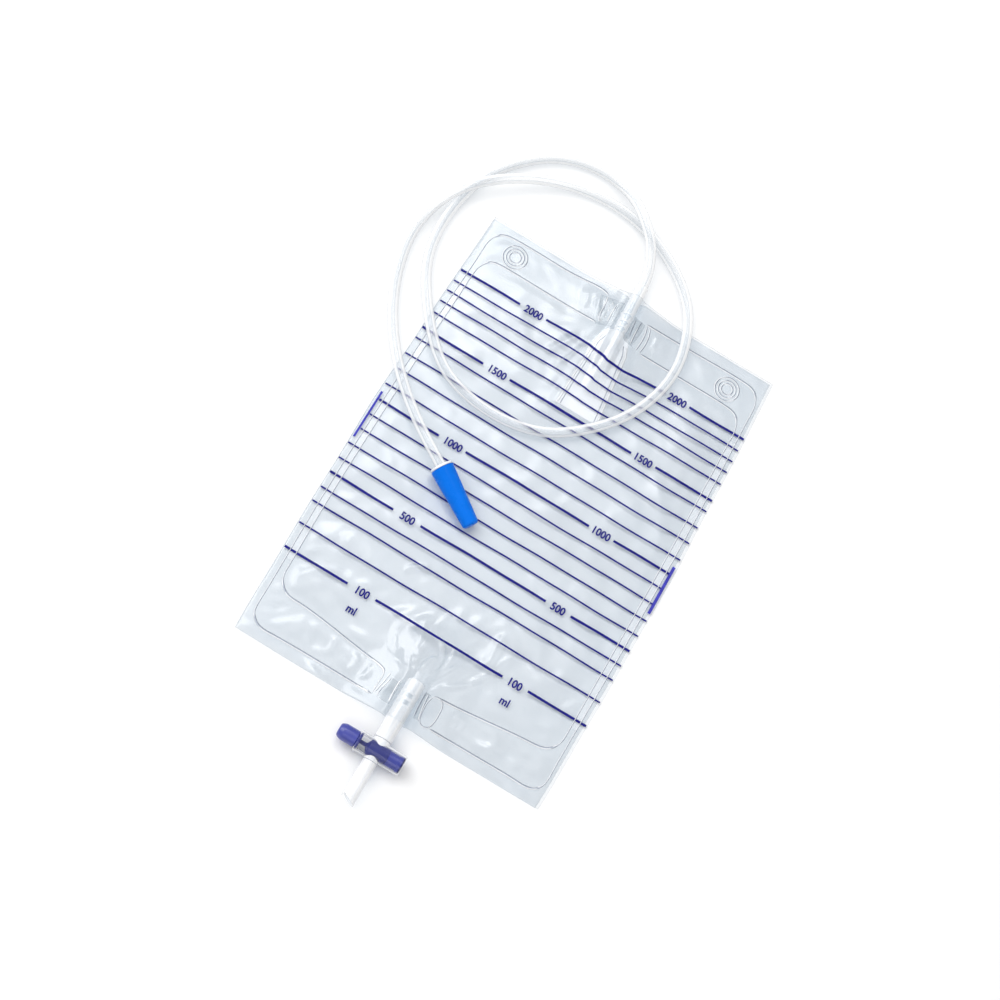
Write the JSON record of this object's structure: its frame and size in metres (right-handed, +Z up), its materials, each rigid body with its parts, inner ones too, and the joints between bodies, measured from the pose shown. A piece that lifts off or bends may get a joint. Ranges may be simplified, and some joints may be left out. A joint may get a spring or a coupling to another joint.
{
  "type": "urine drainage bag",
  "caption": "Flat clear film drainage bag with graduations, long coiled inlet tube with capped tapered connector, reflux flap valve and push-pull drain valve.",
  "frame": {"origin": "on the surface the bag lies on, under the middle of the footprint of the bag with its ports and drain valve, the loose tube left out", "axes": "+X across the bag to the right as the graduations are read, +Y along the bag from the drain valve to the inlet port, +Z up off the surface"},
  "size_m": [0.2565, 0.4468, 0.0165],
  "materials": {
    "front_film": "soft clear film, printed lines",
    "back_film": "soft clear film",
    "reflux_flap": "thin clear film",
    "port": "clear soft plastic",
    "clear_tube": "clear soft plastic",
    "valve_body": "clear rigid plastic",
    "valve_spool": "satin dark blue",
    "patient_connector": "satin white",
    "connector_cap": "satin bright blue"
  },
  "bodies": {
    "bag": {"back_film": "back_film", "front_film": "front_film", "reflux_flap_front": "reflux_flap", "reflux_flap_back": "reflux_flap", "inlet_port": "port", "outlet_port": "port", "inlet_tube": "clear_tube", "valve_body": "valve_body", "drain_tip": "clear_tube", "patient_connector": "patient_connector"},
    "spool": {"valve_spool": "valve_spool"},
    "cap": {"connector_cap": "connector_cap"}
  },
  "joints": [
    {"name": "spool_slide", "type": "slide", "parent": "bag", "child": "spool", "axis": [1, 0, 0], "range_m": [0, 0.009]},
    {"name": "cap_pull", "type": "slide", "parent": "bag", "child": "cap", "axis": [0.8425, -0.5388, 0], "range_m": [0, 0.038]}
  ]
}
